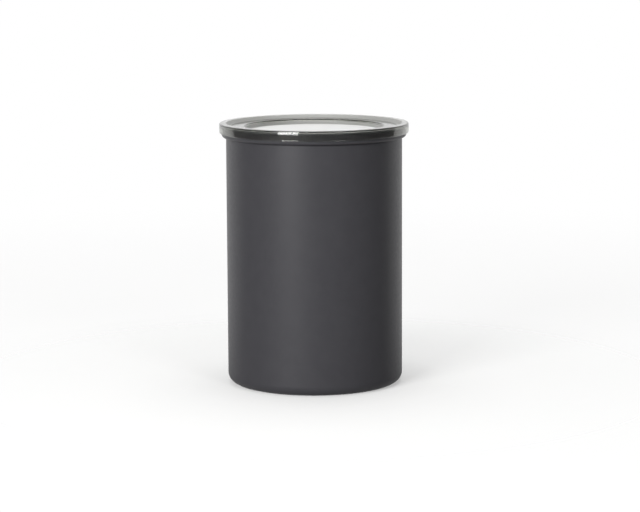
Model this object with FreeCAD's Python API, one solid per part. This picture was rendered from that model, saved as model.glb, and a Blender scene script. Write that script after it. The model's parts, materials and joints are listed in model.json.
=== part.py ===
"""Coffee canister with a valved inner lid that is pressed down onto the coffee.

A drawn steel can with a rolled rim is closed by a clear outer lid. Inside it a plunger slides on a
lip gasket. Raising the plunger's bail handle turns two cams that lift a spring-loaded valve.

Millimetres. +Z is up. The origin is on the floor, at the centre of the can's base.
Each piece of the plunger is drawn from its own underside, and the plunger is then set at its height.
"""
import FreeCAD
import Part

import math
import os

V = FreeCAD.Vector
UP = V(0, 0, 1)
ALONG_X = V(1, 0, 0)

# Can
can_outer_diameter = 121.0
can_height = 178.5
can_wall = 0.5
can_corner_radius = 6.8
base_ring_width = 6.0
base_recess_depth = 1.2
base_recess_ramp = 3.0
base_bend_radius = 1.0
rim_overhang = 3.0
rim_height = 8.3
rim_lower_radius = 2.3
rim_end_gap = 0.2

# Outer lid
lid_seat_gap = 0.3
lid_top_wall = 1.2
lid_wall = 1.2
lid_rim_rise = 2.0
lid_rim_run = 3.0
lid_land_offset = 0.8
lid_skirt_gap = 0.4
lid_skirt_wall = 1.4
lid_skirt_taper = 0.3
lid_skirt_height = 6.8
lid_skirt_round = 0.7
lid_belly_radius = 10.0
lid_crest_radius = 0.8
lid_plug_gap = 0.3
lid_plug_wall = 1.2
lid_plug_depth = 3.0
lid_panel_diameter = 92.0
lid_panel_drop = 3.4
lid_panel_ramp = 2.0
lid_panel_bend = 0.8
lid_top_radius = 0.6
lid_edge_radius = 0.3
lid_shelf_fillet = 1.0

# Plunger plate
plunger_height = 14.0
plunger_flange_gap = 1.2
plunger_flange_thickness = 1.8
plunger_rim_wall = 2.4
plunger_deck = 3.0
plunger_bowl_fillet = 2.0
plunger_edge_radius = 0.6
plunger_floor_gap = 1.2
rib_count = 8
rib_thickness = 1.6
rib_height = 2.0

# Wall gasket
gasket_groove_depth = 3.8
gasket_body = 2.4
gasket_wall_gap = 0.3
gasket_groove_gap = 0.1
gasket_lip_edge = 0.8
gasket_lip_root = 1.8
gasket_lip_droop = 1.2

# Valve
valve_port_diameter = 12.0
valve_seat_width = 2.4
valve_seat_height = 1.8
seal_thickness = 1.5
seal_overlap = 0.6
poppet_margin = 0.6
poppet_thickness = 1.8
stem_diameter = 5.0
stem_running_gap = 0.08
stem_tip_diameter = 3.6
seal_spigot_diameter = 9.2
seal_lip = 0.7
seal_lip_thickness = 0.8
push_on_gap = 0.05
valve_lift = 3.5

# Valve spring
spring_length = 9.0
spring_wire = 0.8
spring_coil_diameter = 10.0
spring_turns = 4

# Valve bonnet
bonnet_poppet_gap = 1.6
bonnet_wall = 1.6
bonnet_top_wall = 2.0
bonnet_window_count = 6
bonnet_window_width = 6.0
bonnet_window_height = 5.5
bonnet_edge_radius = 1.0
bonnet_collar_height = 2.0
bonnet_collar_wall = 1.4
bonnet_collar_gap = 0.05

# Valve button and its push-on nut
button_thickness = 3.0
button_rest_gap = 0.5
button_rim = 0.3
button_wing_width = 10.0
button_edge_radius = 0.6
nut_thickness = 0.6
nut_ring = 2.2
nut_pocket_gap = 0.3

# Bean screen
screen_diameter = 22.0
screen_thickness = 1.2
screen_seat_gap = 0.1
screen_hole_diameter = 1.8
screen_hole_spacing = 2.6
screen_rings = 2

# Bail handle, its cams and its hinge
cam_base = 3.5
cam_width = 3.4
cam_gap = 0.1
cam_bonnet_gap = 0.6
handle_swing = math.radians(90)
handle_arm_width = 3.8
handle_side_gap = 0.3
handle_hub_radius = 5.0
handle_thickness = 5.0
handle_bar_width = 7.5
handle_neck = 5.5
handle_corner_gap = 0.25
handle_corner_angle = math.radians(28.5)
handle_shoulder_gap = 6.3
handle_shoulder_angle = math.radians(57.3)
handle_neck_radius = 7.0
handle_shoulder_radius = 9.0
handle_top_radius = 24.0
handle_edge_radius = 1.5
handle_rest_gap = 0.1
handle_rest_diameter = 5.0
handle_head_room = 3.0
ear_thickness = 3.6
ear_radius = 5.5
ear_foot_spread = 3.0
pin_diameter = 3.0
pin_running_gap = 0.06
pin_press_gap = 0.01

# Radii worked out from the can
can_out = can_outer_diameter / 2
can_in = can_out - can_wall
roll_out = can_out + rim_overhang

# Heights of the outer lid
lid_seat = can_height + lid_seat_gap
lid_top = lid_seat + lid_top_wall
lid_shelf = lid_top - lid_rim_rise
lid_panel = lid_shelf - lid_panel_drop
lid_underside = lid_panel - lid_wall

# Radii of the plunger
flange_out = can_in - plunger_flange_gap
groove_floor = flange_out - gasket_groove_depth
bowl_in = groove_floor - plunger_rim_wall

# Radii of the valve
port = valve_port_diameter / 2
seat_out = port + valve_seat_width
seal_out = seat_out + seal_overlap
poppet_out = seal_out + poppet_margin
stem = stem_diameter / 2
stem_tip = stem_tip_diameter / 2
seal_spigot = seal_spigot_diameter / 2
bonnet_in = poppet_out + bonnet_poppet_gap
bonnet_out = bonnet_in + bonnet_wall
collar_in = bonnet_out + bonnet_collar_gap
collar_out = collar_in + bonnet_collar_wall
nut_in = stem_tip + push_on_gap
nut_out = nut_in + nut_ring
screen_seat = screen_diameter / 2 + screen_seat_gap
screen_seat_depth = screen_thickness + screen_seat_gap
pin = pin_diameter / 2

# Heights in the plunger, from its underside
seat_top = plunger_deck + valve_seat_height
poppet_under = seat_top + seal_thickness
poppet_top = poppet_under + poppet_thickness
bonnet_under = poppet_top + spring_length
bonnet_top = bonnet_under + bonnet_top_wall
button_under = bonnet_top + button_rest_gap
button_top = button_under + button_thickness
nut_under = button_top - nut_thickness - push_on_gap
hinge = button_under - cam_gap - cam_base

# Stations along the hinge, from the valve outwards
cam_in = collar_out + cam_bonnet_gap
arm_in = cam_in + cam_width
arm_out = arm_in + handle_arm_width
ear_in = arm_out + handle_side_gap
ear_out = ear_in + ear_thickness

# Corners of the folded handle, set from the bowl that it lies in
handle_corner = bowl_in - handle_corner_gap
handle_reach = handle_corner * math.cos(handle_corner_angle)
handle_top_half_width = handle_corner * math.sin(handle_corner_angle)
handle_shoulder = (bowl_in - handle_shoulder_gap) * math.cos(handle_shoulder_angle)
handle_half_width = (bowl_in - handle_shoulder_gap) * math.sin(handle_shoulder_angle)

# The upright handle stays under the closed lid, and the plunger goes down to the can's lower bend
plunger_rest = lid_underside - handle_head_room - hinge - handle_reach
plunger_lowest = can_corner_radius + plunger_floor_gap
plunger_travel = plunger_rest - plunger_lowest

TOUCH = 1e-6


def rounded_wire(corners, place):
    """Closed wire through corners (u, v, radius), each rounded by an arc tangent to its two sides.

    Where the roundings at both ends of a side would meet, they are made smaller until both fit on it.
    """
    points = [V(u, v, 0) for u, v, radius in corners]
    ahead = [(points[(i + 1) % len(points)] - p) for i, p in enumerate(points)]
    halves = [(ahead[i - 1] * -1).getAngle(side) / 2 for i, side in enumerate(ahead)]
    wanted = [corner[2] / math.tan(half) for corner, half in zip(corners, halves)]
    room = [
        min(1.0, side.Length / max(wanted[i] + wanted[(i + 1) % len(wanted)], TOUCH))
        for i, side in enumerate(ahead)]
    stops = []
    for i, (corner, half) in enumerate(zip(points, halves)):
        reach = wanted[i] * min(room[i - 1], room[i])
        radius = reach * math.tan(half)
        back = V(ahead[i - 1]).normalize() * -1
        onward = V(ahead[i]).normalize()
        inward = (back + onward).normalize() if radius else V()
        middle = corner + inward * (radius / math.sin(half) - radius)
        stops.append((corner + back * reach, middle, corner + onward * reach))
    edges = []
    for i, (start, middle, end) in enumerate(stops):
        following = stops[(i + 1) % len(stops)][0]
        if (end - start).Length > TOUCH:
            edges.append(Part.Arc(place(start), place(middle), place(end)).toShape())
        if (following - end).Length > TOUCH:
            edges.append(Part.LineSegment(place(end), place(following)).toShape())
    return Part.Wire(edges)


def turned(corners):
    """Solid of revolution about Z from corners (radius from the axis, height, corner rounding)."""
    face = Part.Face(rounded_wire(corners, lambda p: V(p.x, 0, p.y)))
    return face.revolve(V(), UP, 360)


def extruded_x(wire_corners, start, length):
    """Prism along X from corners (y, z, corner rounding)."""
    face = Part.Face(rounded_wire(wire_corners, lambda p: V(start, p.x, p.y)))
    return face.extrude(ALONG_X * length)


def rod_x(radius, start, length, height):
    """Round rod along X, at y 0 and the given height."""
    return Part.makeCylinder(radius, length, V(start, 0, height), ALONG_X)


def mirrored(shape):
    """The same shape on the other side of the YZ plane."""
    return shape.mirror(V(), ALONG_X)


def around(shape, count, first=0.0):
    """Copies of a shape, evenly spaced about Z."""
    copies = []
    for i in range(count):
        copy = shape.copy()
        copy.rotate(V(), UP, first + 360.0 * i / count)
        copies.append(copy)
    return copies


def can():
    """Drawn steel can: raised base panel, round corner, straight wall and a hollow rolled rim."""
    ring_in = can_out - can_corner_radius - base_ring_width
    panel = ring_in - base_recess_ramp
    crown = (roll_out - can_in) / 2
    roll_bottom = can_height - rim_height
    bend = base_bend_radius
    return turned([
        (0, base_recess_depth, 0),
        (panel, base_recess_depth, bend),
        (ring_in, 0, bend),
        (can_out, 0, can_corner_radius),
        (can_out, can_height - can_wall, crown - can_wall),
        (roll_out - can_wall, can_height - can_wall, crown - can_wall),
        (roll_out - can_wall, roll_bottom + can_wall, rim_lower_radius - can_wall),
        (can_out + rim_end_gap, roll_bottom + can_wall, 0),
        (can_out + rim_end_gap, roll_bottom, 0),
        (roll_out, roll_bottom, rim_lower_radius),
        (roll_out, can_height, crown),
        (can_in, can_height, crown),
        (can_in, can_wall, can_corner_radius - can_wall),
        (ring_in, can_wall, bend),
        (panel, base_recess_depth + can_wall, bend),
        (0, base_recess_depth + can_wall, 0),
    ])


def outer_lid():
    """Clear moulded lid: convex skirt round the roll, sunken panel in the mouth and a plug ring."""
    skirt_in = roll_out + lid_skirt_gap
    skirt_belly = skirt_in + lid_skirt_wall
    skirt_edge = skirt_belly - lid_skirt_taper
    skirt_bottom = lid_top - lid_skirt_height
    plug = can_in - lid_plug_gap
    plug_in = plug - lid_plug_wall
    land_in = plug + lid_land_offset
    shelf_under = lid_shelf - lid_wall
    plug_bottom = shelf_under - lid_plug_depth
    panel = lid_panel_diameter / 2
    step = panel + lid_panel_ramp
    slope = math.hypot(lid_panel_ramp, lid_panel_drop)
    behind = lid_wall * (slope - lid_panel_ramp) / lid_panel_drop
    edge = lid_edge_radius
    bend = lid_panel_bend
    return turned([
        (0, lid_panel, 0),
        (panel, lid_panel, bend),
        (step, lid_shelf, bend),
        (land_in - lid_rim_run, lid_shelf, lid_shelf_fillet),
        (land_in, lid_top, lid_top_radius),
        (skirt_edge, lid_top, lid_crest_radius),
        (skirt_belly, (lid_top + skirt_bottom) / 2, lid_belly_radius),
        (skirt_edge, skirt_bottom, lid_skirt_round),
        (skirt_in, skirt_bottom, edge),
        (skirt_in, lid_seat, edge),
        (plug, lid_seat, edge),
        (plug, plug_bottom, edge),
        (plug_in, plug_bottom, edge),
        (plug_in, shelf_under, edge),
        (step + behind, shelf_under, bend),
        (panel + behind, lid_underside, bend),
        (0, lid_underside, 0),
    ])


def plunger_shell():
    """The plate's turned form: groove for the gasket, bowl, collar for the bonnet and valve seat."""
    edge = plunger_edge_radius
    flange = plunger_flange_thickness
    collar_top = plunger_deck + bonnet_collar_height
    return turned([
        (port, screen_seat_depth, 0),
        (screen_seat, screen_seat_depth, 0),
        (screen_seat, 0, 0),
        (flange_out, 0, edge),
        (flange_out, flange, edge),
        (groove_floor, flange, 0),
        (groove_floor, plunger_height - flange, 0),
        (flange_out, plunger_height - flange, edge),
        (flange_out, plunger_height, edge),
        (bowl_in, plunger_height, edge),
        (bowl_in, plunger_deck, plunger_bowl_fillet),
        (collar_out, plunger_deck, 0),
        (collar_out, collar_top, 0),
        (collar_in, collar_top, 0),
        (collar_in, plunger_deck, 0),
        (seat_out, plunger_deck, 0),
        (seat_out, seat_top, 0),
        (port, seat_top, 0),
    ])


def ear():
    """Upright that carries one hinge pin, round over the pin and spread at its foot."""
    foot = ear_radius + ear_foot_spread
    root = plunger_deck / 2
    crown = hinge + ear_radius
    body = extruded_x([
        (-foot, root, 0),
        (foot, root, 0),
        (ear_radius, crown, ear_radius),
        (-ear_radius, crown, ear_radius),
    ], ear_in, ear_thickness)
    return body.cut(rod_x(pin + pin_press_gap, ear_in, ear_thickness, hinge))


def handle_rest():
    """Post on the deck that the folded handle lies on."""
    across = handle_half_width - handle_bar_width
    height = hinge - handle_thickness / 2 - handle_rest_gap - plunger_deck / 2
    return Part.makeCylinder(handle_rest_diameter / 2, height, V(across, handle_shoulder, plunger_deck / 2))


def deck_rib():
    """Low stiffening rib from the bonnet's collar to the rim."""
    length = bowl_in - collar_out + plunger_rim_wall
    start = V(collar_out - bonnet_collar_wall / 2, -rib_thickness / 2, plunger_deck / 2)
    return Part.makeBox(length, rib_thickness, plunger_deck / 2 + rib_height, start)


def plunger_plate():
    """Moulded plunger: shell, stiffening ribs, two hinge ears and two rests for the handle."""
    sides = [ear(), handle_rest()]
    extras = sides + [mirrored(s) for s in sides]
    extras += around(deck_rib(), rib_count, 180.0 / rib_count)
    return plunger_shell().multiFuse(extras).removeSplitter()


def wall_gasket():
    """Soft ring in the plunger's groove, with two lips that wipe the can's wall."""
    inner = groove_floor + gasket_groove_gap
    body = inner + gasket_body
    tip = can_in - gasket_wall_gap
    low = plunger_flange_thickness + gasket_groove_gap
    high = plunger_height - low
    under = low + gasket_lip_droop + gasket_lip_edge
    over = under + gasket_lip_root
    soft = gasket_lip_edge / 3
    lower_half = [
        (inner, low, soft),
        (body, low, soft),
        (body, under, soft),
        (tip, low + gasket_lip_edge, soft),
        (tip, low + 2 * gasket_lip_edge, soft),
        (body, over, soft),
    ]
    upper_half = [(r, low + high - z, rounding) for r, z, rounding in reversed(lower_half)]
    return turned(lower_half + upper_half)


def bean_screen():
    """Perforated disc under the valve port, with holes on rings of six."""
    disc = Part.makeCylinder(screen_diameter / 2, screen_thickness)
    hole = Part.makeCylinder(screen_hole_diameter / 2, screen_thickness)
    holes = [hole]
    for ring in range(1, screen_rings + 1):
        outer = hole.copy()
        outer.translate(V(ring * screen_hole_spacing, 0, 0))
        holes += around(outer, 6 * ring)
    return disc.cut(holes)


def valve_bonnet():
    """Cup over the valve that guides its stem and seats its spring, with windows for the air."""
    guide = stem + stem_running_gap
    cup = turned([
        (guide, bonnet_under, 0),
        (bonnet_in, bonnet_under, 0),
        (bonnet_in, plunger_deck, 0),
        (bonnet_out, plunger_deck, 0),
        (bonnet_out, bonnet_top, bonnet_edge_radius),
        (guide, bonnet_top, 0),
    ])
    sill = seat_top + bonnet_collar_gap + max(0.0, bonnet_collar_height - valve_seat_height)
    window = Part.makeBox(
        bonnet_wall * 3, bonnet_window_width, bonnet_window_height,
        V(bonnet_in - bonnet_wall, -bonnet_window_width / 2, sill))
    return cup.cut(around(window, bonnet_window_count))


def valve_poppet():
    """Valve disc with its stem, the tip that carries the button and the spigot that holds the seal."""
    spigot_end = seat_top - seal_lip_thickness
    return turned([
        (0, spigot_end, 0),
        (seal_spigot + seal_lip, spigot_end, 0),
        (seal_spigot + seal_lip, seat_top, 0),
        (seal_spigot, seat_top, 0),
        (seal_spigot, poppet_under, 0),
        (poppet_out, poppet_under, 0),
        (poppet_out, poppet_top, plunger_edge_radius),
        (stem, poppet_top, 0),
        (stem, button_under, 0),
        (stem_tip, button_under, 0),
        (stem_tip, button_top, 0),
        (0, button_top, 0),
    ])


def valve_seal():
    """Flat silicone washer on the poppet that closes on the seat."""
    inner = seal_spigot + push_on_gap
    return turned([
        (inner, seat_top, 0),
        (seal_out, seat_top, 0),
        (seal_out, poppet_under, 0),
        (inner, poppet_under, 0),
    ])


def bend(start, heading, end, arriving):
    """Two arcs that leave start along heading, meet smoothly and reach end along arriving."""
    chord = end - start
    turn = heading + arriving
    a = 2 * (heading.dot(arriving) - 1)
    b = -2 * chord.dot(turn)
    c = chord.dot(chord)
    reach = (-b - math.sqrt(b * b - 4 * a * c)) / (2 * a)
    first = start + heading * reach
    last = end - arriving * reach
    joint = (first + last) * 0.5
    return [arc_in(start, first, joint), arc_in(joint, last, end)]


def arc_in(start, corner, end):
    """Arc tangent to the two equal sides that meet at corner."""
    half_chord = (end - start).Length / 2
    side = (corner - start).Length
    foot = (start + end) * 0.5
    rise = corner - foot
    share = half_chord / (half_chord + side)
    return Part.Arc(start, foot + rise * share, end)


def spring_path():
    """Centre line of the valve spring: a helix in quarter turns between two short upright ends."""
    radius = spring_coil_diameter / 2
    lead = 2 * spring_wire
    low = poppet_top + lead
    high = bonnet_under - lead
    climb = (high - low) / (2 * math.pi * spring_turns)

    def station(turn):
        angle = 2 * math.pi * turn
        place = V(radius * math.cos(angle), radius * math.sin(angle), low + climb * angle)
        heading = V(-radius * math.sin(angle), radius * math.cos(angle), climb)
        return place, heading.normalize()

    quarters = [station(i / 4) for i in range(4 * spring_turns + 1)]
    edges = []
    for (start, heading), (end, arriving) in zip(quarters, quarters[1:]):
        edges += bend(start, heading, end, arriving)
    first, heading = quarters[0]
    last, arriving = quarters[-1]
    foot = first - heading * spring_wire
    foot.z = poppet_top + spring_wire
    head = last + arriving * spring_wire
    head.z = bonnet_under - spring_wire
    enter = [Part.LineSegment(foot - UP * spring_wire, foot)] + bend(foot, UP, first, heading)
    leave = bend(last, arriving, head, UP) + [Part.LineSegment(head, head + UP * spring_wire)]
    return enter + edges + leave


def valve_spring():
    """Compression spring from one unbroken wire."""
    path = spring_path()
    wire = Part.Wire([curve.toShape() for curve in path])
    start = path[0].StartPoint
    section = Part.Wire(Part.makeCircle(spring_wire / 2, start, UP))
    print("spring wire's least gap to itself: %.2f mm" % least_gap(wire))
    return wire.makePipeShell([section], True, False)


def least_gap(wire):
    """Smallest clear distance between stretches of the spring wire that lie over a turn's half apart."""
    points = wire.discretize(Number=240)
    step = wire.Length / (len(points) - 1)
    apart = int(math.pi * spring_coil_diameter / 2 / step)
    pairs = ((p - q).Length for i, p in enumerate(points) for q in points[i + apart:])
    return min(pairs) - spring_wire


def valve_button():
    """Round cap on the stem, with two wings that ride on the handle's cams."""
    hole = stem_tip + push_on_gap
    pocket = nut_out + nut_pocket_gap
    cap_out = bonnet_out - button_rim
    cap = turned([
        (hole, button_under, 0),
        (cap_out, button_under, 0),
        (cap_out, button_top, button_edge_radius),
        (pocket, button_top, 0),
        (pocket, nut_under, 0),
        (hole, nut_under, 0),
    ])
    root = (pocket + cap_out) / 2
    reach = arm_in - handle_side_gap
    half = button_wing_width / 2
    wing = Part.Face(rounded_wire([
        (root, -half, 0),
        (reach, -half, half / 2),
        (reach, half, half / 2),
        (root, half, 0),
    ], lambda p: V(p.x, p.y, button_under))).extrude(UP * (button_thickness - button_edge_radius))
    return cap.multiFuse([wing, mirrored(wing)]).removeSplitter()


def stem_nut():
    """Push-on nut that keeps the button on the stem."""
    return turned([
        (nut_in, nut_under, 0),
        (nut_out, nut_under, 0),
        (nut_out, nut_under + nut_thickness, 0),
        (nut_in, nut_under + nut_thickness, 0),
    ])


def cam():
    """Cam whose height grows in proportion to the handle's angle: the involute of a small circle."""
    rate = valve_lift / handle_swing
    steps = 8
    flank = []
    for i in range(steps + 1):
        angle = handle_swing * i / steps
        height = cam_base + rate * angle
        across = height * math.sin(angle) + rate * math.cos(angle)
        above = height * math.cos(angle) - rate * math.sin(angle)
        flank.append(V(cam_in, across, hinge + above))
    curve = Part.BSplineCurve()
    curve.interpolate(flank)
    top = V(cam_in, 0, hinge + cam_base)
    back = V(cam_in, -cam_base, hinge)
    under = V(cam_in, 0, hinge - cam_base)
    heel = V(cam_in, flank[-1].y, hinge - cam_base)
    outline = [
        Part.LineSegment(top, flank[0]),
        curve,
        Part.LineSegment(flank[-1], heel),
        Part.LineSegment(heel, under),
        Part.Arc(under, back, top),
    ]
    return Part.Face(Part.Wire([c.toShape() for c in outline])).extrude(ALONG_X * cam_width)


def inset(points, widths):
    """Open outline moved sideways: each side by its own width, met again at the corners."""
    moved = []
    for start, end, width in zip(points, points[1:], widths):
        along = (end - start).normalize()
        moved.append((start + V(-along.y, along.x, 0) * width, along))
    corners = [moved[0][0]]
    for (p, along), (q, onward) in zip(moved, moved[1:]):
        share = ((q - p).x * onward.y - (q - p).y * onward.x) / (along.x * onward.y - along.y * onward.x)
        corners.append(p + along * share)
    return corners


def bail():
    """The handle's flat bow, from arm to arm, lying folded towards +Y."""
    neck = ear_radius + handle_neck
    side = [
        V(arm_out, 0, 0),
        V(arm_out, neck, 0),
        V(handle_half_width, handle_shoulder, 0),
        V(handle_top_half_width, handle_reach, 0),
        V(0, handle_reach, 0),
    ]
    inner = inset(side, [handle_arm_width, handle_bar_width, handle_bar_width, handle_bar_width])
    outer_rounding = [0, handle_neck_radius, handle_shoulder_radius, handle_top_radius]
    inner_rounding = [
        0,
        handle_neck_radius + handle_arm_width,
        max(handle_edge_radius, handle_shoulder_radius - handle_bar_width),
        max(handle_edge_radius, handle_top_radius - handle_bar_width),
    ]
    outer_side = [(p.x, p.y, r) for p, r in zip(side, outer_rounding)]
    inner_side = [(p.x, p.y, r) for p, r in zip(inner, inner_rounding)]
    right = inner_side[::-1] + outer_side
    left = [(-x, y, r) for x, y, r in reversed(right)]
    level = hinge - handle_thickness / 2
    face = Part.Face(rounded_wire(right + left, lambda p: V(p.x, p.y, level)))
    bow = face.extrude(UP * handle_thickness)
    long_edges = [e for e in bow.Edges if e.Length > handle_edge_radius and flat_edge(e)]
    return bow.makeFillet(handle_edge_radius, long_edges)


def flat_edge(edge):
    """True for an edge along the bow's outline, and not for an upright one or one across an arm's end."""
    ends = [v.Point for v in edge.Vertexes]
    level = abs(ends[0].z - ends[-1].z) < TOUCH
    at_hinge = all(abs(p.y) < TOUCH for p in ends)
    return level and not at_hinge


def bail_handle():
    """Bail handle: flat bow, two hinge hubs and the two cams that lift the valve."""
    hub = rod_x(handle_hub_radius, arm_in, handle_arm_width, hinge)
    bore = rod_x(pin + pin_running_gap, cam_in, arm_out - cam_in, hinge)
    sides = [hub, cam()]
    solid = bail().multiFuse(sides + [mirrored(s) for s in sides])
    return solid.cut([bore, mirrored(bore)]).removeSplitter()


def handle_pin():
    """Steel hinge pin, held in an ear and running in the handle's hub."""
    return rod_x(pin, cam_in, ear_out - cam_in, hinge)


def at_plunger(shape):
    """A plunger piece, raised from its own frame to where the plunger rests in the can."""
    return shape.translated(UP * plunger_rest)


def main():
    pieces = {
        "canister_body": can(),
        "outer_lid": outer_lid(),
        "plunger_plate": at_plunger(plunger_plate()),
        "wall_gasket": at_plunger(wall_gasket()),
        "bean_screen": at_plunger(bean_screen()),
        "valve_bonnet": at_plunger(valve_bonnet()),
        "valve_poppet": at_plunger(valve_poppet()),
        "valve_seal": at_plunger(valve_seal()),
        "valve_spring": at_plunger(valve_spring()),
        "valve_button": at_plunger(valve_button()),
        "stem_nut": at_plunger(stem_nut()),
        "bail_handle": at_plunger(bail_handle()),
        "handle_pin_right": at_plunger(handle_pin()),
        "handle_pin_left": at_plunger(mirrored(handle_pin())),
    }
    os.makedirs("parts", exist_ok=True)
    for node, shape in pieces.items():
        shape.exportStep("parts/%s.step" % node)
        print("%-18s solids %d valid %s volume %.1f" % (
            node, len(shape.Solids), shape.isValid(), shape.Volume))
    print("plunger rests at %.3f, hinge at %.3f, travel %.3f mm" % (
        plunger_rest, plunger_rest + hinge, plunger_travel))


main()
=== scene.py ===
# %% [markdown]
# # A coffee canister with a valve
# The object is a drawn steel can, painted matte charcoal, with a smoke-tinted clear lid. Inside it an
# inner lid slides down onto the coffee and lets the air out through a valve.
# The CAD model is loaded first and fixes every size and place. Blender then gives each piece its surface.

# %% Load the frame
import json
import math

import bpy
import numpy as np
from mathutils import Matrix, Vector


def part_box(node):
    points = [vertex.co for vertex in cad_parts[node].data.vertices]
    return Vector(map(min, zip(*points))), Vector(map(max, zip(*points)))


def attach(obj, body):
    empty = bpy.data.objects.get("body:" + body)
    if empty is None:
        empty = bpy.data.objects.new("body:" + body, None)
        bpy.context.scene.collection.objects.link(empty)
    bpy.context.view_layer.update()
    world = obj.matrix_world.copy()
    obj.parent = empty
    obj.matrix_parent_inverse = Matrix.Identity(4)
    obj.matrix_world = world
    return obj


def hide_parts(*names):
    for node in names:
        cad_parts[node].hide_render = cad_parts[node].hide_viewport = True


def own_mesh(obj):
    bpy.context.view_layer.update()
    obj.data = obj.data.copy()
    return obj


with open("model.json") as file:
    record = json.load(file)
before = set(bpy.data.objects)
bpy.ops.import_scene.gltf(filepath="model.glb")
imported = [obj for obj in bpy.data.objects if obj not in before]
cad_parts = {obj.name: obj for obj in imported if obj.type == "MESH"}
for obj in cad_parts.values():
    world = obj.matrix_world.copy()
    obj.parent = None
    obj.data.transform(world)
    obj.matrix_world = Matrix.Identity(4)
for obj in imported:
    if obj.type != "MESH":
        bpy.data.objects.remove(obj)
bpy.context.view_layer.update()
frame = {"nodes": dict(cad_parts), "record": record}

MM = 0.001

# %% [markdown]
# ## Finishes
# A finish is a material with one Principled shader. Its sockets are set directly, or follow a noise where
# the real surface varies. An image could carry the grain too, but it would need an unwrapped mesh. Noise
# on Object coordinates needs none, can be baked, and has the same scale on every piece.

# %% A shader with its sockets set


def shader_input(material, socket):
    """One input of the material's Principled shader."""
    return material.node_tree.nodes["Principled BSDF"].inputs[socket]


def new_finish(name, **sockets):
    """A material with one Principled shader, whose sockets are set by name, with _ for a space."""
    material = bpy.data.materials.new(name)
    material.use_nodes = True
    for socket, value in sockets.items():
        shader_input(material, socket.replace("_", " ")).default_value = value
    return material


# %% Noise
noise_low = 0.3
noise_high = 0.7


def grain(material, size, stretch=(1, 1, 1)):
    """Noise with grains of about size millimetres, times stretch along each axis.

    Its values lie around 0.5, nearly all of them between noise_low and noise_high.
    """
    tree = material.node_tree
    coordinates = tree.nodes.new("ShaderNodeTexCoord")
    mapping = tree.nodes.new("ShaderNodeMapping")
    mapping.inputs["Scale"].default_value = [1 / s for s in stretch]
    noise = tree.nodes.new("ShaderNodeTexNoise")
    noise.inputs["Scale"].default_value = 1 / (size * MM)
    noise.inputs["Detail"].default_value = 3.0
    tree.links.new(coordinates.outputs["Object"], mapping.inputs["Vector"])
    tree.links.new(mapping.outputs["Vector"], noise.inputs["Vector"])
    return noise.outputs["Fac"]


# %% What a noise drives


def vary_tone(material, noise, dark, light):
    """Lets the colour follow a noise, from dark to light."""
    tree = material.node_tree
    ramp = tree.nodes.new("ShaderNodeValToRGB")
    for mark, place, tone in zip(ramp.color_ramp.elements, (noise_low, noise_high), (dark, light)):
        mark.position = place
        mark.color = (*tone, 1)
    tree.links.new(noise, ramp.inputs["Fac"])
    tree.links.new(ramp.outputs["Color"], shader_input(material, "Base Color"))


def vary_gloss(material, noise, low, high):
    """Lets the roughness follow a noise, from low to high."""
    tree = material.node_tree
    spread = tree.nodes.new("ShaderNodeMapRange")
    spread.inputs["From Min"].default_value = noise_low
    spread.inputs["From Max"].default_value = noise_high
    spread.inputs["To Min"].default_value = low
    spread.inputs["To Max"].default_value = high
    tree.links.new(noise, spread.inputs["Value"])
    tree.links.new(spread.outputs["Result"], shader_input(material, "Roughness"))


def raise_grain(material, noise, height):
    """Lets a bump follow a noise, height millimetres from its lowest to its highest."""
    tree = material.node_tree
    bump = tree.nodes.new("ShaderNodeBump")
    bump.inputs["Strength"].default_value = 1.0
    bump.inputs["Distance"].default_value = height * MM
    tree.links.new(noise, bump.inputs["Height"])
    tree.links.new(bump.outputs["Normal"], shader_input(material, "Normal"))


# %% [markdown]
# ## Charcoal paint
# The can's outside has a matte coat of paint with a fine orange peel. One plain colour would do from afar,
# but close to it looks like film. Three noises of falling size are used instead: they let the tone drift a
# little, vary the gloss and raise the peel.

# %% Charcoal paint


def charcoal_paint():
    """Matte charcoal paint over steel."""
    material = new_finish("charcoal_paint", IOR=1.4, Specular_IOR_Level=0.4)
    drift = grain(material, size=9.0)
    vary_tone(material, drift, dark=(0.0465, 0.0455, 0.051), light=(0.0495, 0.0485, 0.054))
    vary_gloss(material, grain(material, size=2.0), low=0.38, high=0.46)
    raise_grain(material, grain(material, size=0.45), height=0.006)
    return material


paint = charcoal_paint()
print("outside of the can:", paint.name)

# %% [markdown]
# ## Steel
# Inside, the can is bare stainless steel with a satin polish, which leaves fine lines round it. An
# anisotropic shader could streak the light along the lines, but it needs a tangent on every piece. A noise
# that is stretched sideways and thin in height draws fine level lines on the wall. The pins, the spring and
# the nut are bright drawn steel, with the faint lines of the die.

# %% Bare steel and drawn steel


def bare_steel():
    """Stainless steel with a satin polish: fine lines that run round the axis."""
    material = new_finish("bare_steel", Metallic=1.0)
    lines = grain(material, size=0.5, stretch=(40, 40, 1))
    vary_tone(material, lines, dark=(0.60, 0.60, 0.59), light=(0.66, 0.66, 0.65))
    vary_gloss(material, lines, low=0.42, high=0.50)
    raise_grain(material, lines, height=0.0015)
    return material


def drawn_steel():
    """Drawn stainless wire: bright, with faint die lines along X."""
    material = new_finish("drawn_steel", Metallic=1.0)
    lines = grain(material, size=0.12, stretch=(12, 1, 1))
    vary_tone(material, lines, dark=(0.55, 0.55, 0.55), light=(0.68, 0.68, 0.67))
    vary_gloss(material, lines, low=0.2, high=0.32)
    return material


steel = bare_steel()
wire = drawn_steel()
print("inside of the can, and small steel pieces:", steel.name, wire.name)

# %% [markdown]
# ## Smoke plastic
# The lid is one plastic with three faces: polished on the skirt, half matt on the rim round the middle, and
# frosted in the middle. A tinted face would look the same at every thickness. Here the tint is in the
# volume, so a thick edge is darker than a thin wall, and a matt face only lets less light through.

# %% Smoke plastic


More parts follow.
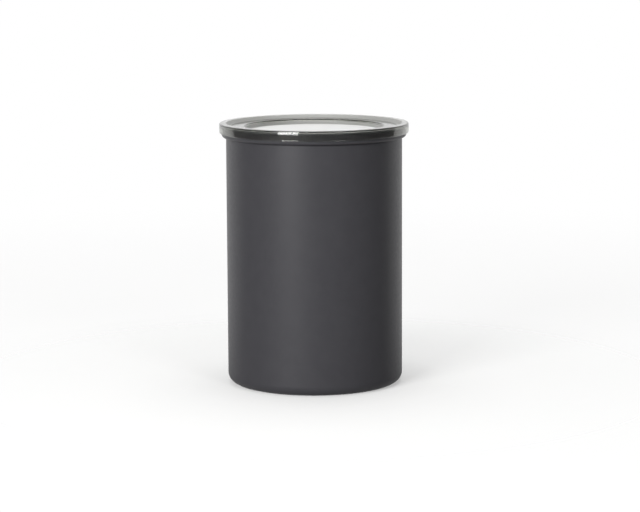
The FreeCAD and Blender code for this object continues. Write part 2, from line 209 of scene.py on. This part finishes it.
def smoke_plastic(name, **sockets):
    """Smoke-tinted clear plastic: its colour comes from the depth that light crosses."""
    material = new_finish(name, IOR=1.49, **sockets)
    tree = material.node_tree
    depth = tree.nodes.new("ShaderNodeVolumeAbsorption")
    depth.inputs["Color"].default_value = (0.62, 0.63, 0.57, 1)
    depth.inputs["Density"].default_value = 330.0
    tree.links.new(depth.outputs["Volume"], tree.nodes["Material Output"].inputs["Volume"])
    return material


def clear_plastic():
    """The plastic with a polished face."""
    return smoke_plastic(
        "smoke_clear", Base_Color=(0.96, 0.965, 0.95, 1), Roughness=0.08, Transmission_Weight=1.0)


def satin_plastic():
    """The plastic with a half-matt face, which still lets some light through."""
    return smoke_plastic(
        "smoke_satin", Base_Color=(0.58, 0.58, 0.555, 1), Roughness=0.4, Transmission_Weight=0.6)


def frosted_plastic():
    """The plastic with a fine matt texture, which scatters most of the light and looks pale."""
    material = smoke_plastic(
        "smoke_frosted", Base_Color=(0.94, 0.94, 0.93, 1), Roughness=0.45, Transmission_Weight=0.15)
    raise_grain(material, grain(material, size=0.35), height=0.02)
    return material


clear = clear_plastic()
satin = satin_plastic()
frosted = frosted_plastic()
print("faces of the lid:", clear.name, satin.name, frosted.name)

# %% [markdown]
# ## Plastics and silicone of the inner lid
# The inner lid, its handle and the cup over its valve are black mouldings, the valve is white, and the
# gasket and the valve's seal are grey silicone. Each could have a node tree of its own, but they differ in
# tone and gloss alone. So one function makes all three, with the fine grain of a spark-eroded mould.

# %% Moulded finishes


def moulded_plastic(name, dark, light, roughness):
    """Moulded plastic with the fine grain of a spark-eroded mould."""
    material = new_finish(name, IOR=1.5)
    gloss_drift = 0.05
    vary_tone(material, grain(material, size=5.0), dark, light)
    vary_gloss(material, grain(material, size=1.2), roughness - gloss_drift, roughness + gloss_drift)
    raise_grain(material, grain(material, size=0.3), height=0.008)
    return material


black = moulded_plastic("black_plastic", (0.024, 0.024, 0.026), (0.032, 0.032, 0.034), roughness=0.45)
white = moulded_plastic("white_plastic", (0.70, 0.70, 0.67), (0.76, 0.76, 0.73), roughness=0.4)
silicone = moulded_plastic("grey_silicone", (0.24, 0.24, 0.245), (0.29, 0.29, 0.295), roughness=0.55)
print("mouldings:", black.name, white.name, silicone.name)

# %% [markdown]
# ## Finishes on the CAD nodes
# Most pieces of the inner lid keep the CAD model's own meshes, because their shapes are right and only the
# surface is missing. Each could be given its finish by name, but the record already says which material
# slot each node has. A loop that reads it forgets none.

# %% Finishes on the CAD nodes
by_slot = {
    "can_paint": paint,
    "smoke_plastic": clear,
    "black_plastic": black,
    "white_plastic": white,
    "grey_silicone": silicone,
    "bright_steel": wire,
}
for part in frame["record"]["subparts"]:
    materials = frame["nodes"][part["node"]].data.materials
    materials.clear()
    materials.append(by_slot[part["material_slot"]])

# %% [markdown]
# ## Turned surfaces
# The can and the lid are round, so each is an outline carried round the axis. A Screw modifier could spin
# the outline too, but worked out as one array the grid is exact, it closes on itself, and every face knows
# which part of the outline it came from, so paint can stop where it should.

# %% Outline with rounded corners
same_place = 1e-6


def rounded_outline(corners, arc_step=math.radians(7), guard=0.25):
    """Closed outline through corners (r, z, rounding), in millimetres, as an array of points.

    At each corner the two sides are cut back by rounding / tan(half the corner's angle), and an arc
    about the point at rounding / sin(half) along the bisector joins them. Two guard points near the ends
    of a long straight side keep its shading flat.
    """
    spots = np.array(corners, float)
    stretches = []
    for before, here, after in zip(np.roll(spots, 1, 0), spots, np.roll(spots, -1, 0)):
        back = (before - here)[:2]
        ahead = (after - here)[:2]
        back /= np.linalg.norm(back)
        ahead /= np.linalg.norm(ahead)
        half = math.acos(np.clip(back @ ahead, -1, 1)) / 2
        radius = here[2]
        if radius == 0:
            stretches.append(here[None, :2])
            continue
        bisector = (back + ahead) / np.linalg.norm(back + ahead)
        centre = here[:2] + bisector * radius / math.sin(half)
        start = here[:2] + back * radius / math.tan(half) - centre
        sweep = math.pi - 2 * half
        turn = math.copysign(1, back[1] * ahead[0] - back[0] * ahead[1])
        angles = turn * np.linspace(0, sweep, max(3, int(sweep / arc_step) + 2))
        cos, sin = np.cos(angles), np.sin(angles)
        arc = np.stack([start[0] * cos - start[1] * sin, start[0] * sin + start[1] * cos], 1)
        stretches.append(centre + arc)
    points = []
    for stretch, following in zip(stretches, stretches[1:] + stretches[:1]):
        points.append(stretch)
        side = following[0] - stretch[-1]
        length = np.linalg.norm(side)
        if length > 4 * guard:
            unit = side / length
            points.append(np.array([stretch[-1] + unit * guard, following[0] - unit * guard]))
    outline = np.concatenate(points)
    apart = np.linalg.norm(outline - np.roll(outline, 1, 0), axis=1)
    return outline[apart > same_place]


# %% Mesh from points and faces


def mesh_object(name, points, faces):
    """Smooth mesh object in the scene, from points in metres and faces of vertex numbers."""
    mesh = bpy.data.meshes.new(name)
    mesh.from_pydata(points, [], faces)
    mesh.polygons.foreach_set("use_smooth", np.ones(len(faces), bool))
    mesh.validate()
    piece = bpy.data.objects.new(name, mesh)
    bpy.context.scene.collection.objects.link(piece)
    print("%s: %d faces" % (name, len(faces)))
    return piece


# %% Carry an outline round the axis


def turned(name, outline, segments, sharp=math.radians(35)):
    """Mesh object from a closed outline (r, z) in millimetres, and the outline's row of each face.

    Point (i, j) is (r_i cos t_j, r_i sin t_j, z_i) with t_j = 2 pi j / segments, and the other way round
    for an outline that runs clockwise, so that faces look outwards. A row on the axis is one vertex with
    triangles round it. The side of the outline that lies on the axis makes no faces.
    """
    r, z = outline.T
    way = np.sign(np.sum(r * np.roll(z, -1) - np.roll(r, -1) * z))
    turns = way * 2 * np.pi * np.arange(segments) / segments
    flat_z = np.repeat(z[:, None], segments, 1)
    rings = np.stack([np.outer(r, np.cos(turns)), np.outer(r, np.sin(turns)), flat_z], 2)
    on_axis = r < same_place
    used = np.ones(rings.shape[:2], bool)
    used[on_axis, 1:] = False
    index = (np.cumsum(used) - 1).reshape(used.shape)
    index[on_axis] = index[on_axis][:, :1]
    above = np.roll(index, -1, 0)
    quads = np.stack([index, np.roll(index, -1, 1), np.roll(above, -1, 1), above], 2)
    axis_next = np.roll(on_axis, -1)
    rows = [
        np.flatnonzero(~on_axis & ~axis_next),
        np.flatnonzero(on_axis & ~axis_next),
        np.flatnonzero(~on_axis & axis_next),
    ]
    corners = [slice(0, 4), slice(1, 4), slice(0, 3)]
    faces = []
    for row, corner in zip(rows, corners):
        faces += quads[row][:, :, corner].reshape(-1, corner.stop - corner.start).tolist()
    piece = mesh_object(name, rings[used] * MM, faces)
    piece.data.set_sharp_from_angle(angle=sharp)
    return piece, np.repeat(np.concatenate(rows), segments)


# %% Finish a piece


def finish_piece(piece, materials, faces_material, body, slot, *nodes):
    """Gives a piece its materials by face and its body, and hides the CAD nodes it stands for; slot is
    unused.
    """
    for material in materials:
        piece.data.materials.append(material)
    piece.data.polygons.foreach_set("material_index", np.asarray(faces_material, np.int32))
    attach(piece, body)
    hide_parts(*nodes)


# %% [markdown]
# ## The can
# The can is one drawn sheet: a raised base panel, a round corner, a straight wall and a rim rolled
# outwards. A cylinder with a Solidify modifier and a ring on top could stand for it, but the roll and the
# wall would meet in a seam. One outline follows both faces of the sheet round the roll's open end instead.
# The paint stops at the top of the roll, and the bare steel starts there.

# %% Sizes of the can, in millimetres
can_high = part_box("canister_body")[1]
can_height = can_high[2] / MM
roll_out = can_high[0] / MM
sheet = 0.5
corner_radius = 6.8
base_ring_width = 6.0
base_ramp = 3.0
base_rise = 1.2
base_bend = 1.0
rim_overhang = 3.0
rim_height = 8.3
rim_end_gap = 0.2
roll_lower = 2.3

can_out = roll_out - rim_overhang
can_in = can_out - sheet
ring_in = can_out - corner_radius - base_ring_width
base_edge = ring_in - base_ramp
crown = (roll_out - can_in) / 2
roll_bottom = can_height - rim_height
print("can: %.1f mm across the body, %.1f mm high" % (2 * can_out, can_height))

# %% Can
can_outline = rounded_outline([
    (0, base_rise, 0),
    (base_edge, base_rise, base_bend),
    (ring_in, 0, base_bend),
    (can_out, 0, corner_radius),
    (can_out, can_height - sheet, crown - sheet),
    (roll_out - sheet, can_height - sheet, crown - sheet),
    (roll_out - sheet, roll_bottom + sheet, roll_lower - sheet),
    (can_out + rim_end_gap, roll_bottom + sheet, 0),
    (can_out + rim_end_gap, roll_bottom, 0),
    (roll_out, roll_bottom, roll_lower),
    (roll_out, can_height, crown),
    (can_in, can_height, crown),
    (can_in, sheet, corner_radius - sheet),
    (ring_in, sheet, base_bend),
    (base_edge, base_rise + sheet, base_bend),
    (0, base_rise + sheet, 0),
])
top_row = int(np.argmax(can_outline[:, 1]))
can_shell, rows = turned("can_shell", can_outline, segments=192)
finish_piece(can_shell, [paint, steel], rows >= top_row, "canister", "can_paint", "canister_body")

# %% [markdown]
# ## The clear lid
# The lid is one moulding: a skirt that hangs over the roll, a rim that slopes down to a shelf, a step down
# to a sunken panel, and a plug ring in the can's mouth. A thin sheet with a clear shader could stand for
# it, but light wouldn't bend or darken in it. As a closed solid it does both: from the front the painted
# roll shows through the skirt. The step's upper edge is polished, and draws a dark line round the panel.

# %% Sizes of the lid, in millimetres
lid_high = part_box("outer_lid")[1]
lid_top = lid_high[2] / MM
lid_wall = 1.2
seat_gap = 0.3
skirt_gap = 0.4
skirt_wall = 1.4
skirt_taper = 0.3
skirt_height = 6.8
plug_gap = 0.3
plug_wall = 1.2
plug_depth = 3.0
land_offset = 0.8
rim_drop = 2.0
rim_run = 3.0
panel_radius = 46.0
panel_ramp = 2.0
panel_drop = 3.4
polished_drop = 1.3

lid_seat = can_height + seat_gap
skirt_in = roll_out + skirt_gap
skirt_belly = skirt_in + skirt_wall
skirt_edge = skirt_belly - skirt_taper
skirt_bottom = lid_top - skirt_height
plug_out = can_in - plug_gap
plug_in = plug_out - plug_wall
land_in = plug_out + land_offset
lid_shelf = lid_top - rim_drop
shelf_under = lid_shelf - lid_wall
plug_bottom = shelf_under - plug_depth
panel_floor = lid_shelf - panel_drop
panel_under = panel_floor - lid_wall
panel_step = panel_radius + panel_ramp
polished_edge = panel_step - panel_ramp * polished_drop / panel_drop
print("lid: %.1f mm across the skirt, its panel's underside at %.1f mm" % (2 * skirt_belly, panel_under))

# %% Lid
edge = 0.3
top_radius = 0.6
skirt_round = 0.7
crest_radius = 0.8
bend = 0.8
shelf_fillet = 1.0
belly_radius = 10.0
# The step's underside lies this far outside its upper face, which keeps the sloped wall at lid_wall.
behind = lid_wall * (math.hypot(panel_ramp, panel_drop) - panel_ramp) / panel_drop
lid_outline = rounded_outline([
    (0, panel_floor, 0),
    (panel_radius, panel_floor, bend),
    (polished_edge, lid_shelf - polished_drop, 0),
    (panel_step, lid_shelf, bend),
    (land_in - rim_run, lid_shelf, shelf_fillet),
    (land_in, lid_top, top_radius),
    (skirt_edge, lid_top, crest_radius),
    (skirt_belly, (lid_top + skirt_bottom) / 2, belly_radius),
    (skirt_edge, skirt_bottom, skirt_round),
    (skirt_in, skirt_bottom, edge),
    (skirt_in, lid_seat, edge),
    (plug_out, lid_seat, edge),
    (plug_out, plug_bottom, edge),
    (plug_in, plug_bottom, edge),
    (plug_in, shelf_under, edge),
    (panel_step + behind, shelf_under, bend),
    (panel_radius + behind, panel_under, bend),
    (0, panel_under, 0),
])
lid_shell, rows = turned("lid_shell", lid_outline, segments=256)

# %% Faces of the lid
clear_face = 0
satin_face = 1
frosted_face = 2
hair = 0.03
radius, height = lid_outline.T
is_inside = np.arange(len(radius)) < np.argmax(height > lid_top - hair)
is_panel = is_inside & (radius < panel_radius - bend)
is_edge = is_inside & (radius > polished_edge - hair) & (radius < panel_step + bend)
is_satin = is_inside & ~is_panel & ~is_edge
finish = np.select([is_panel, is_satin], [frosted_face, satin_face], clear_face)
finish_piece(lid_shell, [clear, satin, frosted], finish[rows], "lid", "smoke_plastic", "outer_lid")
print("rows of the lid's outline: %d frosted, %d satin" % (is_panel.sum(), is_satin.sum()))

# %% [markdown]
# ## The valve's spring
# The spring shows through the windows of the cup over the valve. It is one wound wire, so it is a round
# section carried along a coil. A Screw modifier could wind it too, but a formula also gives the closed end
# turns on which a real spring stands. The handle's cams lift the valve and press the spring together.

# %% Wind a wire


def wound_wire(name, coil, thickness, low, high, turns=4.0, end_turns=0.75, steps=48, sides=12):
    """Mesh object of a compression spring, in millimetres.

    The wire's middle is at (coil cos t, coil sin t, z), where z climbs by one thickness a turn in the two
    end stretches and evenly between them. Point (i, j) lies thickness / 2 from it, at angle u_j between the
    outward direction n and b = tangent x n. A flat face closes each end.
    """
    total = turns + 2 * end_turns
    turn = np.linspace(0, total, int(total * steps) + 1)
    first = low + thickness / 2
    last = high - thickness / 2
    rise = thickness * end_turns
    z = np.interp(turn, [0, end_turns, total - end_turns, total], [first, first + rise, last - rise, last])
    t = 2 * np.pi * turn
    outward = np.stack([np.cos(t), np.sin(t), np.zeros_like(t)], 1)
    middle = coil * outward
    middle[:, 2] = z
    tangent = np.gradient(middle, axis=0)
    tangent /= np.linalg.norm(tangent, axis=1, keepdims=True)
    across = np.cross(tangent, outward)
    u = 2 * np.pi * np.arange(sides)[:, None] / sides
    points = middle[:, None] + thickness / 2 * (np.cos(u) * outward[:, None] + np.sin(u) * across[:, None])
    index = np.arange(len(t) * sides).reshape(-1, sides)
    beside = np.roll(index, -1, 1)
    skin = np.stack([index[:-1], beside[:-1], beside[1:], index[1:]], 2).reshape(-1, 4)
    ends = [index[0, ::-1].tolist(), index[-1].tolist()]
    return mesh_object(name, points.reshape(-1, 3) * MM, skin.tolist() + ends)


# %% Spring
spring_low, spring_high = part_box("valve_spring")
spring_wire = 0.8
coil_radius = (spring_high[0] - spring_low[0]) / 2 / MM - spring_wire / 2
spring = wound_wire("wound_spring", coil_radius, spring_wire, spring_low[2] / MM, spring_high[2] / MM)
one_finish = np.zeros(len(spring.data.polygons))
finish_piece(spring, [wire], one_finish, "plunger", "bright_steel", "valve_spring")
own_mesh(spring)

# %% [markdown]
# ## Floor and white world
# The photograph was taken in a white sweep. A bent sheet behind the object could stand for it, but its own
# shading would show. Here a white world is the backdrop: the camera, gloss and clear plastic see it white,
# and the rest of its light is dim, so that the lamps make the shadows. The floor keeps the shadow under the
# canister and gives way to the white with the distance from it.

# %% Stage helpers


def stage_object(name, points, faces, material):
    """A mesh object that isn't part of the canister."""
    stage = mesh_object(name, points, faces)
    stage.data.materials.append(material)
    return stage


def ray_kinds(tree):
    """The outputs that tell which kind of ray looks."""
    return tree.nodes.new("ShaderNodeLightPath").outputs


def either(tree, first, second):
    """A value that is 1 where the first or the second is 1."""
    node = tree.nodes.new("ShaderNodeMath")
    node.operation = "MAXIMUM"
    tree.links.new(first, node.inputs[0])
    tree.links.new(second, node.inputs[1])
    return node.outputs[0]


# %% Tone and cover of the floor


def floor_tone(material, unseen, seen):
    """Gives the camera and clear plastic one tone to see, and other light another.

    A darker tone for other light makes the floor throw little of it back onto the can.
    """
    tree = material.node_tree
    ray = ray_kinds(tree)
    tone = tree.nodes.new("ShaderNodeValToRGB")
    for mark, colour in zip(tone.color_ramp.elements, (unseen, seen)):
        mark.color = (*colour, 1)
    tree.links.new(either(tree, ray["Is Camera Ray"], ray["Is Transmission Ray"]), tone.inputs["Fac"])
    tree.links.new(tone.outputs["Color"], shader_input(material, "Base Color"))


def floor_cover(material, stops):
    """Lets the floor cover less with the distance from the axis, by stops (metres, share) in order."""
    tree = material.node_tree
    coordinates = tree.nodes.new("ShaderNodeTexCoord")
    distance = tree.nodes.new("ShaderNodeVectorMath")
    distance.operation = "LENGTH"
    fade = tree.nodes.new("ShaderNodeValToRGB")
    fade.color_ramp.interpolation = "EASE"
    marks = fade.color_ramp.elements
    marks.remove(marks[1])
    marks[0].position = stops[0][0]
    for place, _ in stops[1:]:
        marks.new(place)
    for mark, (_, share) in zip(marks, stops):
        mark.color = (share, share, share, 1)
    tree.links.new(coordinates.outputs["Object"], distance.inputs[0])
    tree.links.new(distance.outputs["Value"], fade.inputs["Fac"])
    tree.links.new(fade.outputs["Color"], shader_input(material, "Alpha"))


# %% Floor
half_floor = 1.1
floor_corners = [
    (-half_floor, -half_floor, 0),
    (half_floor, -half_floor, 0),
    (half_floor, half_floor, 0),
    (-half_floor, half_floor, 0),
]
pale_floor = new_finish("pale_floor", Roughness=0.7, IOR=1.3)
floor_tone(pale_floor, unseen=(0.1, 0.1, 0.1), seen=(0.93, 0.93, 0.92))
floor_cover(pale_floor, [(0.065, 0.65), (0.11, 0.5), (0.3, 0.2), (1.0, 0.0)])
stage_object("floor", floor_corners, [(0, 1, 2, 3)], pale_floor)

# %% White world


def white_sweep(fill):
    """World that is white to the camera, gloss and clear plastic, and lights the rest at a fill level."""
    world = bpy.data.worlds.new("white_sweep")
    world.use_nodes = True
    tree = world.node_tree
    ray = ray_kinds(tree)
    seen = either(tree, ray["Is Camera Ray"], ray["Is Glossy Ray"])
    level = tree.nodes.new("ShaderNodeMapRange")
    level.inputs["To Min"].default_value = fill
    level.inputs["To Max"].default_value = 1.0
    tree.links.new(either(tree, seen, ray["Is Transmission Ray"]), level.inputs["Value"])
    background = tree.nodes["Background"]
    background.inputs["Color"].default_value = (1, 1, 1, 1)
    tree.links.new(level.outputs["Result"], background.inputs["Strength"])
    return world


fill_level = 0.25
bpy.context.scene.world = white_sweep(fill_level)
print("white world, with fill light at %.2f" % fill_level)

# %% [markdown]
# ## Dark half room
# The sweep is open towards the camera, so the front of the object reflects a dark room, and its sides
# reflect white. A dark world in front could do this too, but the backdrop would be dark with it from other
# sides. A half-round wall that only gloss and clear plastic see leaves the rest of the light alone.

# %% Dark half room
room_radius = 3.0
room_depth = 1.5
room_height = 4.0
room_half_angle = math.radians(113)
room_columns = 48
room_finish = new_finish(
    "dark_room", Base_Color=(0.02, 0.02, 0.02, 1), Roughness=1.0,
    Emission_Color=(1, 1, 1, 1), Emission_Strength=0.1)
# The wall's foot is at (radius cos t, radius sin t), for t from side to side about the camera's direction.
t = -math.pi / 2 + np.linspace(-room_half_angle, room_half_angle, room_columns + 1)
wall_foot = np.stack([room_radius * np.cos(t), room_radius * np.sin(t), np.full_like(t, -room_depth)], 1)
wall = np.concatenate([wall_foot, wall_foot + (0, 0, room_depth + room_height)])
column = np.arange(room_columns)
over = column + len(wall_foot)
wall_faces = np.stack([column, column + 1, over + 1, over], 1)
room = stage_object("dark_room", wall.tolist(), wall_faces.tolist(), room_finish)
room.visible_camera = False
room.visible_diffuse = False
room.visible_shadow = False

# %% [markdown]
# ## Lamps
# A large soft lamp stands at the left of the camera and makes the light stripe down the can and the
# highlight on the lid's skirt. A weaker one at the right lifts that side, a small one makes a glint on the
# rim, and a wide one overhead lights the panel. An image of a studio could light the object too, but square
# lamps have soft edges and can be moved one at a time.

# %% Lamps
canister_middle = Vector((0, 0, 0.09))


def lamp(name, place, size, power):
    """Square area lamp aimed at the canister, with its side in metres and its power in watts."""
    data = bpy.data.lights.new(name, "AREA")
    data.size = size
    data.energy = power
    light = bpy.data.objects.new(name, data)
    light.location = place
    light.rotation_euler = (canister_middle - Vector(place)).to_track_quat("-Z", "Y").to_euler()
    bpy.context.scene.collection.objects.link(light)
    print("%s lamp: %.2f m, %.0f W" % (name, size, power))


def lamp_place(azimuth, elevation, distance):
    """Place of a lamp, by its angle from the camera's side, its angle above the floor and its distance."""
    turn, rise = math.radians(azimuth), math.radians(elevation)
    flat = distance * math.cos(rise)
    return (flat * math.sin(turn), -flat * math.cos(turn), distance * math.sin(rise))


lamp("key", lamp_place(azimuth=-31, elevation=20, distance=1.9), size=0.8, power=34)
lamp("right", lamp_place(azimuth=29, elevation=28, distance=1.9), size=0.45, power=7)
lamp("front", lamp_place(azimuth=-8, elevation=35, distance=1.8), size=0.15, power=1.0)
lamp("top", (0.0, 0.3, 2.2), size=1.6, power=21)

# %% [markdown]
# ## Camera
# The camera's place, tilt, roll and lens were fitted to the object's outline in the photograph. A Track To
# constraint could aim it, but wouldn't give it the small roll, so its matrix is written out.

# %% Camera
photo_width = 640
focal_in_pixels = 2386
camera_place = Vector((0.0037, -1.634, 0.3331))
degrees_down = 8.56
degrees_roll = -0.27
camera_data = bpy.data.cameras.new("camera")
camera_data.sensor_width = 36.0
camera_data.sensor_fit = "HORIZONTAL"
camera_data.lens = camera_data.sensor_width * focal_in_pixels / photo_width
camera = bpy.data.objects.new("camera", camera_data)
tilt = Matrix.Rotation(math.radians(90 - degrees_down), 4, "X")
roll = Matrix.Rotation(math.radians(degrees_roll), 4, "Z")
camera.matrix_world = Matrix.Translation(camera_place) @ tilt @ roll
bpy.context.scene.collection.objects.link(camera)
bpy.context.scene.camera = camera
bpy.context.scene.view_settings.view_transform = "Standard"
print("camera: %.0f mm lens" % camera_data.lens)
